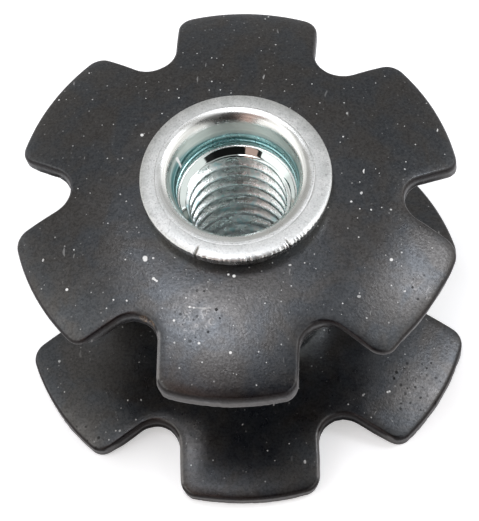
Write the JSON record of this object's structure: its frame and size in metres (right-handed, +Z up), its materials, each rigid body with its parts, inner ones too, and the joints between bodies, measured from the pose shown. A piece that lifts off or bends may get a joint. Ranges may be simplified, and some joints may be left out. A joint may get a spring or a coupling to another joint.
{
  "type": "star nut",
  "caption": "Star nut: a threaded sleeve with a cupped, tabbed spring-steel star washer riveted to each end, pressed into a tube to give a bolt an anchor.",
  "frame": {"origin": "on the sleeve's axis, at the level of the lower star's tips, on which the part stands", "axes": "+Z up along the sleeve's axis, out of the mouth where the bolt goes in; one tab of the upper star points along -Y"},
  "size_m": [0.0234, 0.0238, 0.0144],
  "materials": {
    "zinc_plated_steel": "bright zinc plate, faint blue tint in the bore",
    "black_oxide_steel": "satin black oxide"
  },
  "bodies": {
    "root": {"threaded_sleeve": "zinc_plated_steel", "upper_star_washer": "black_oxide_steel", "lower_star_washer": "black_oxide_steel"}
  },
  "joints": []
}
